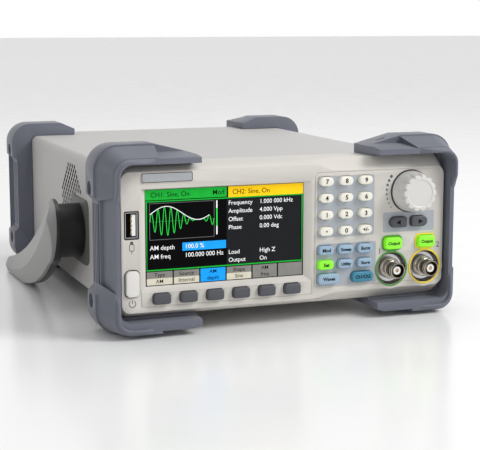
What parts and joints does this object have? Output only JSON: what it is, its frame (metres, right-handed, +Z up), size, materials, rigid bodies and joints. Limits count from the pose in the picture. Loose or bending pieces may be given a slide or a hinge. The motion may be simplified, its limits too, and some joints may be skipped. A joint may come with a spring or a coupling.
{
  "type": "function generator",
  "caption": "Bench function generator: cased body with corner bumpers, swinging bail handle, lit display, keypads, control knob and bayonet outputs.",
  "frame": {"origin": "on the floor, under the middle of the instrument's outer box with the bail handle stowed", "axes": "+X to the right seen from the front, +Y to the back, +Z up"},
  "size_m": [0.2464, 0.2958, 0.1072],
  "materials": {
    "cover_paint": "fine textured powder coat, warm grey",
    "bezel_plastic": "satin moulded plastic, light warm grey",
    "bumper_rubber": "matt moulded rubber, slate blue-grey",
    "display_module": "black module",
    "display_glass": "glossy clear front over a lit picture",
    "silicone": "matt silicone",
    "circuit_board": "solder-masked board",
    "plated_steel": "zinc plated",
    "black_plastic": "moulded black",
    "nickel_plate": "bright nickel plate",
    "green_trim": "printed trim, green",
    "yellow_trim": "printed trim, yellow",
    "knob_plastic": "satin moulded plastic",
    "handle_black": "textured black nylon",
    "handle_grey": "satin grey nylon",
    "key_slate": "matt keycap, slate",
    "key_ivory": "matt keycap, ivory",
    "key_blue": "translucent matt keycap, pale blue",
    "key_teal": "matt keycap, teal",
    "key_lit_green": "back-lit translucent keycap, green"
  },
  "bodies": {
    "chassis": {"top_cover": "cover_paint", "base_pan": "cover_paint", "front_bezel": "bezel_plastic", "front_bumper_right": "bumper_rubber", "front_bumper_left": "bumper_rubber", "rear_bumper_right": "bumper_rubber", "rear_bumper_left": "bumper_rubber", "rear_panel": "cover_paint", "display_panel": "display_module", "display_window": "display_glass", "key_mat": "silicone", "front_board": "circuit_board", "main_board": "circuit_board", "power_supply": "plated_steel", "cooling_fan": "black_plastic", "usb_host_port": "plated_steel", "bnc_jacks": "nickel_plate", "output_ring_1": "green_trim", "output_ring_2": "yellow_trim", "rotary_encoder": "plated_steel", "ac_inlet": "black_plastic", "lan_port": "plated_steel", "usb_device_port": "plated_steel", "housing_screws": "plated_steel", "handle_pivots": "handle_black"},
    "control_knob": {"control_knob": "knob_plastic"},
    "fan_rotor": {"fan_rotor": "black_plastic"},
    "handle": {"handle_frame": "handle_black", "handle_shell": "handle_grey"},
    "softkey_1": {"softkey_1": "key_slate"},
    "softkey_2": {"softkey_2": "key_slate"},
    "softkey_3": {"softkey_3": "key_slate"},
    "softkey_4": {"softkey_4": "key_slate"},
    "softkey_5": {"softkey_5": "key_slate"},
    "softkey_6": {"softkey_6": "key_slate"},
    "key_0": {"key_0": "key_ivory"},
    "key_1": {"key_1": "key_ivory"},
    "key_2": {"key_2": "key_ivory"},
    "key_3": {"key_3": "key_ivory"},
    "key_4": {"key_4": "key_ivory"},
    "key_5": {"key_5": "key_ivory"},
    "key_6": {"key_6": "key_ivory"},
    "key_7": {"key_7": "key_ivory"},
    "key_8": {"key_8": "key_ivory"},
    "key_9": {"key_9": "key_ivory"},
    "key_point": {"key_point": "key_ivory"},
    "key_sign": {"key_sign": "key_ivory"},
    "key_modulation": {"key_modulation": "key_blue"},
    "key_sweep": {"key_sweep": "key_blue"},
    "key_burst": {"key_burst": "key_blue"},
    "key_parameter": {"key_parameter": "key_lit_green"},
    "key_utility": {"key_utility": "key_blue"},
    "key_store": {"key_store": "key_blue"},
    "key_waveform": {"key_waveform": "key_blue"},
    "key_channel": {"key_channel": "key_teal"},
    "key_left": {"key_left": "key_slate"},
    "key_right": {"key_right": "key_slate"},
    "output_key_1": {"output_key_1": "key_lit_green"},
    "output_key_2": {"output_key_2": "key_lit_green"},
    "power_button": {"power_button": "bezel_plastic"}
  },
  "joints": [
    {"name": "softkey_1_press", "type": "slide", "parent": "chassis", "child": "softkey_1", "axis": [0, 1, 0], "range_m": [0, 0.001], "stiffness_N_per_m": 600},
    {"name": "softkey_2_press", "type": "slide", "parent": "chassis", "child": "softkey_2", "axis": [0, 1, 0], "range_m": [0, 0.001], "stiffness_N_per_m": 600},
    {"name": "softkey_3_press", "type": "slide", "parent": "chassis", "child": "softkey_3", "axis": [0, 1, 0], "range_m": [0, 0.001], "stiffness_N_per_m": 600},
    {"name": "softkey_4_press", "type": "slide", "parent": "chassis", "child": "softkey_4", "axis": [0, 1, 0], "range_m": [0, 0.001], "stiffness_N_per_m": 600},
    {"name": "softkey_5_press", "type": "slide", "parent": "chassis", "child": "softkey_5", "axis": [0, 1, 0], "range_m": [0, 0.001], "stiffness_N_per_m": 600},
    {"name": "softkey_6_press", "type": "slide", "parent": "chassis", "child": "softkey_6", "axis": [0, 1, 0], "range_m": [0, 0.001], "stiffness_N_per_m": 600},
    {"name": "key_0_press", "type": "slide", "parent": "chassis", "child": "key_0", "axis": [0, 1, 0], "range_m": [0, 0.001], "stiffness_N_per_m": 600},
    {"name": "key_1_press", "type": "slide", "parent": "chassis", "child": "key_1", "axis": [0, 1, 0], "range_m": [0, 0.001], "stiffness_N_per_m": 600},
    {"name": "key_2_press", "type": "slide", "parent": "chassis", "child": "key_2", "axis": [0, 1, 0], "range_m": [0, 0.001], "stiffness_N_per_m": 600},
    {"name": "key_3_press", "type": "slide", "parent": "chassis", "child": "key_3", "axis": [0, 1, 0], "range_m": [0, 0.001], "stiffness_N_per_m": 600},
    {"name": "key_4_press", "type": "slide", "parent": "chassis", "child": "key_4", "axis": [0, 1, 0], "range_m": [0, 0.001], "stiffness_N_per_m": 600},
    {"name": "key_5_press", "type": "slide", "parent": "chassis", "child": "key_5", "axis": [0, 1, 0], "range_m": [0, 0.001], "stiffness_N_per_m": 600},
    {"name": "key_6_press", "type": "slide", "parent": "chassis", "child": "key_6", "axis": [0, 1, 0], "range_m": [0, 0.001], "stiffness_N_per_m": 600},
    {"name": "key_7_press", "type": "slide", "parent": "chassis", "child": "key_7", "axis": [0, 1, 0], "range_m": [0, 0.001], "stiffness_N_per_m": 600},
    {"name": "key_8_press", "type": "slide", "parent": "chassis", "child": "key_8", "axis": [0, 1, 0], "range_m": [0, 0.001], "stiffness_N_per_m": 600},
    {"name": "key_9_press", "type": "slide", "parent": "chassis", "child": "key_9", "axis": [0, 1, 0], "range_m": [0, 0.001], "stiffness_N_per_m": 600},
    {"name": "key_point_press", "type": "slide", "parent": "chassis", "child": "key_point", "axis": [0, 1, 0], "range_m": [0, 0.001], "stiffness_N_per_m": 600},
    {"name": "key_sign_press", "type": "slide", "parent": "chassis", "child": "key_sign", "axis": [0, 1, 0], "range_m": [0, 0.001], "stiffness_N_per_m": 600},
    {"name": "key_modulation_press", "type": "slide", "parent": "chassis", "child": "key_modulation", "axis": [0, 1, 0], "range_m": [0, 0.001], "stiffness_N_per_m": 600},
    {"name": "key_sweep_press", "type": "slide", "parent": "chassis", "child": "key_sweep", "axis": [0, 1, 0], "range_m": [0, 0.001], "stiffness_N_per_m": 600},
    {"name": "key_burst_press", "type": "slide", "parent": "chassis", "child": "key_burst", "axis": [0, 1, 0], "range_m": [0, 0.001], "stiffness_N_per_m": 600},
    {"name": "key_parameter_press", "type": "slide", "parent": "chassis", "child": "key_parameter", "axis": [0, 1, 0], "range_m": [0, 0.001], "stiffness_N_per_m": 600},
    {"name": "key_utility_press", "type": "slide", "parent": "chassis", "child": "key_utility", "axis": [0, 1, 0], "range_m": [0, 0.001], "stiffness_N_per_m": 600},
    {"name": "key_store_press", "type": "slide", "parent": "chassis", "child": "key_store", "axis": [0, 1, 0], "range_m": [0, 0.001], "stiffness_N_per_m": 600},
    {"name": "key_waveform_press", "type": "slide", "parent": "chassis", "child": "key_waveform", "axis": [0, 1, 0], "range_m": [0, 0.001], "stiffness_N_per_m": 600},
    {"name": "key_channel_press", "type": "slide", "parent": "chassis", "child": "key_channel", "axis": [0, 1, 0], "range_m": [0, 0.001], "stiffness_N_per_m": 600},
    {"name": "key_left_press", "type": "slide", "parent": "chassis", "child": "key_left", "axis": [0, 1, 0], "range_m": [0, 0.001], "stiffness_N_per_m": 600},
    {"name": "key_right_press", "type": "slide", "parent": "chassis", "child": "key_right", "axis": [0, 1, 0], "range_m": [0, 0.001], "stiffness_N_per_m": 600},
    {"name": "output_key_1_press", "type": "slide", "parent": "chassis", "child": "output_key_1", "axis": [0, 1, 0], "range_m": [0, 0.001], "stiffness_N_per_m": 600},
    {"name": "output_key_2_press", "type": "slide", "parent": "chassis", "child": "output_key_2", "axis": [0, 1, 0], "range_m": [0, 0.001], "stiffness_N_per_m": 600},
    {"name": "power_button_press", "type": "slide", "parent": "chassis", "child": "power_button", "axis": [0, 1, 0], "range_m": [0, 0.001], "stiffness_N_per_m": 600},
    {"name": "knob_turn", "type": "hinge", "parent": "chassis", "child": "control_knob", "pos_m": [0.0778, -0.1416, 0.0749], "axis": [0, 1, 0], "continuous": true},
    {"name": "fan_spin", "type": "hinge", "parent": "chassis", "child": "fan_rotor", "pos_m": [-0.06, 0.1255, 0.052], "axis": [0, 1, 0], "continuous": true},
    {"name": "handle_swing", "type": "hinge", "parent": "chassis", "child": "handle", "pos_m": [0, -0.03185, 0.0461], "axis": [-1, 0, 0], "range_deg": [0, 161]}
  ]
}
